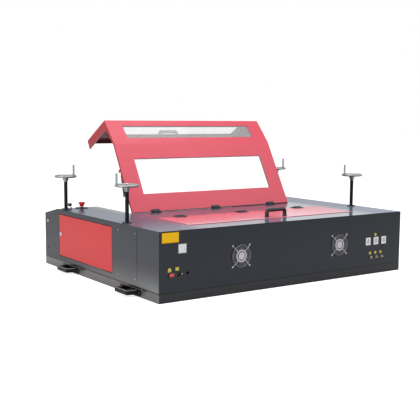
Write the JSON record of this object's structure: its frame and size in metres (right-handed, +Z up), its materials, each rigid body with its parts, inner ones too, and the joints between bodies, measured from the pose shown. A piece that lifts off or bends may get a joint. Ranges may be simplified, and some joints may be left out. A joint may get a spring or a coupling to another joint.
{
  "type": "laser engraver",
  "caption": "Open-bottomed laser engraver cabinet with a hinged windowed lid, tube cover, XY gantry, side door, fans and hand-wheel jack screws",
  "frame": {"origin": "centre of the bounding box footprint, on the floor under the base frame", "axes": "+X along the service face to the right as seen from it, +Y from the service face towards the operator side, +Z up"},
  "size_m": [1.736, 1.304, 0.8453],
  "materials": {
    "cabinet_paint": "fine-textured satin powder coat",
    "lid_paint": "smooth gloss powder coat",
    "black_plastic": "matt moulded",
    "black_metal": "semi-gloss black",
    "bright_metal": "machined",
    "cast_metal": "die-cast, polished rim",
    "extrusion": "clear anodised",
    "window": "clear acrylic",
    "tube_glass": "clear borosilicate",
    "socket_plastic": "gloss white",
    "signal_red": "gloss",
    "belt": "toothed rubber"
  },
  "bodies": {
    "cabinet": {"base_frame": "cabinet_paint", "deck_panel": "cabinet_paint", "rear_panel": "cabinet_paint", "left_panel": "cabinet_paint", "right_panel": "cabinet_paint", "front_panels": "cabinet_paint", "bulkhead": "cabinet_paint", "service_panel": "cabinet_paint", "carry_handles": "black_plastic", "fan_frames": "black_plastic", "fan_guards": "bright_metal", "power_sockets": "socket_plastic", "power_inlet": "black_plastic", "hose_fittings": "bright_metal", "estop_base": "black_plastic", "key_switch": "bright_metal", "control_panel": "black_plastic", "laser_tube": "tube_glass", "tube_clamps": "black_metal", "power_supply": "bright_metal", "y_rails": "extrusion", "y_motor": "black_plastic", "y_belts": "belt", "fixed_mirror": "black_plastic", "jack_collars": "black_metal", "hinge_bases": "black_metal"},
    "lid": {"lid_shell": "lid_paint", "lid_windows": "window", "lid_hinge_arms": "black_metal", "lid_handle": "black_metal"},
    "strut_rods": {"strut_rods": "bright_metal"},
    "strut_tubes": {"strut_tubes": "black_metal"},
    "tube_cover": {"tube_cover": "lid_paint", "cover_hinge_arms": "black_metal", "cover_handle": "black_metal"},
    "left_door": {"left_door": "lid_paint"},
    "left_lock": {"left_lock": "bright_metal"},
    "fan_rotor_1": {"fan_rotor_1": "black_plastic"},
    "fan_rotor_2": {"fan_rotor_2": "black_plastic"},
    "estop_button": {"estop_button": "signal_red"},
    "switch_rocker": {"switch_rocker": "signal_red"},
    "key": {"key": "black_plastic"},
    "gantry": {"gantry_beam": "extrusion", "x_motor": "black_plastic", "gantry_mirror": "black_plastic"},
    "head": {"head_carriage": "extrusion", "laser_head": "black_plastic"},
    "y_shaft": {"y_shaft": "bright_metal"},
    "foot_1": {"jack_foot_1": "black_metal"},
    "screw_1": {"jack_screw_1": "black_metal", "handwheel_1": "cast_metal"},
    "foot_2": {"jack_foot_2": "black_metal"},
    "screw_2": {"jack_screw_2": "black_metal", "handwheel_2": "cast_metal"},
    "foot_3": {"jack_foot_3": "black_metal"},
    "screw_3": {"jack_screw_3": "black_metal", "handwheel_3": "cast_metal"},
    "foot_4": {"jack_foot_4": "black_metal"},
    "screw_4": {"jack_screw_4": "black_metal", "handwheel_4": "cast_metal"}
  },
  "joints": [
    {"name": "lid_hinge", "type": "hinge", "parent": "cabinet", "child": "lid", "pos_m": [0, 0.053, 0.3453], "axis": [1, 0, 0], "range_deg": [-60.5, 0]},
    {"name": "strut_swing", "type": "hinge", "parent": "cabinet", "child": "strut_rods", "pos_m": [0, 0.145, 0.316], "axis": [1, 0, 0], "range_deg": [-75.73, 0.2]},
    {"name": "strut_extend", "type": "slide", "parent": "strut_rods", "child": "strut_tubes", "axis": [0, 0.2532, 0.9674], "range_m": [-0.08169, 0.0005]},
    {"name": "cover_hinge", "type": "hinge", "parent": "cabinet", "child": "tube_cover", "pos_m": [0, -0.195, 0.3453], "axis": [-1, 0, 0], "range_deg": [0, 95]},
    {"name": "left_door_hinge", "type": "hinge", "parent": "cabinet", "child": "left_door", "pos_m": [-0.804, -0.171, 0.193], "axis": [0, 0, 1], "range_deg": [0, 110]},
    {"name": "left_lock_turn", "type": "hinge", "parent": "left_door", "child": "left_lock", "pos_m": [-0.81, 0.435, 0.2], "axis": [-1, 0, 0], "range_deg": [0, 90]},
    {"name": "fan_spin_1", "type": "hinge", "parent": "cabinet", "child": "fan_rotor_1", "pos_m": [-0.333, -0.618, 0.186], "axis": [0, 1, 0], "continuous": true},
    {"name": "fan_spin_2", "type": "hinge", "parent": "cabinet", "child": "fan_rotor_2", "pos_m": [0.333, -0.618, 0.186], "axis": [0, 1, 0], "continuous": true},
    {"name": "estop_press", "type": "slide", "parent": "cabinet", "child": "estop_button", "axis": [0, 0, -1], "range_m": [0, 0.004], "stiffness_N_per_m": 600, "springref_m": -0.004},
    {"name": "switch_tilt", "type": "hinge", "parent": "cabinet", "child": "switch_rocker", "pos_m": [-0.7415, -0.634, 0.131], "axis": [0, 0, 1], "range_deg": [-16, 0]},
    {"name": "key_turn", "type": "hinge", "parent": "cabinet", "child": "key", "pos_m": [-0.72, 0.50364, 0.34502], "axis": [0, 0.2157, 0.9765], "range_deg": [0, 90]},
    {"name": "gantry_travel", "type": "slide", "parent": "cabinet", "child": "gantry", "axis": [0, 1, 0], "range_m": [0, 0.42]},
    {"name": "head_travel", "type": "slide", "parent": "gantry", "child": "head", "axis": [1, 0, 0], "range_m": [0, 0.86]},
    {"name": "cross_shaft_spin", "type": "hinge", "parent": "cabinet", "child": "y_shaft", "pos_m": [0, 0.017, 0.185], "axis": [-1, 0, 0], "range_deg": [-5, 2015]},
    {"name": "jack_1_lift", "type": "slide", "parent": "cabinet", "child": "foot_1", "axis": [0, 0, -1], "range_m": [0, 0.12]},
    {"name": "jack_1_turn", "type": "hinge", "parent": "foot_1", "child": "screw_1", "pos_m": [-0.775, -0.274, 0.52], "axis": [0, 0, 1], "range_deg": [0, 8640]},
    {"name": "jack_2_lift", "type": "slide", "parent": "cabinet", "child": "foot_2", "axis": [0, 0, -1], "range_m": [0, 0.12]},
    {"name": "jack_2_turn", "type": "hinge", "parent": "foot_2", "child": "screw_2", "pos_m": [0.775, -0.274, 0.52], "axis": [0, 0, 1], "range_deg": [0, 8640]},
    {"name": "jack_3_lift", "type": "slide", "parent": "cabinet", "child": "foot_3", "axis": [0, 0, -1], "range_m": [0, 0.12]},
    {"name": "jack_3_turn", "type": "hinge", "parent": "foot_3", "child": "screw_3", "pos_m": [-0.775, 0.44, 0.52], "axis": [0, 0, 1], "range_deg": [0, 8640]},
    {"name": "jack_4_lift", "type": "slide", "parent": "cabinet", "child": "foot_4", "axis": [0, 0, -1], "range_m": [0, 0.12]},
    {"name": "jack_4_turn", "type": "hinge", "parent": "foot_4", "child": "screw_4", "pos_m": [0.775, 0.44, 0.52], "axis": [0, 0, 1], "range_deg": [0, 8640]}
  ],
  "couplings": [
    {"joint": "strut_swing", "follows": "lid_hinge", "ratio": 1.2452},
    {"joint": "strut_extend", "follows": "lid_hinge", "m_per_rad": 0.076412},
    {"joint": "cross_shaft_spin", "follows": "gantry_travel", "rad_per_m": 83.333},
    {"joint": "jack_1_lift", "follows": "jack_1_turn", "m_per_rad": 0.00079577},
    {"joint": "jack_2_lift", "follows": "jack_2_turn", "m_per_rad": 0.00079577},
    {"joint": "jack_3_lift", "follows": "jack_3_turn", "m_per_rad": 0.00079577},
    {"joint": "jack_4_lift", "follows": "jack_4_turn", "m_per_rad": 0.00079577}
  ]
}
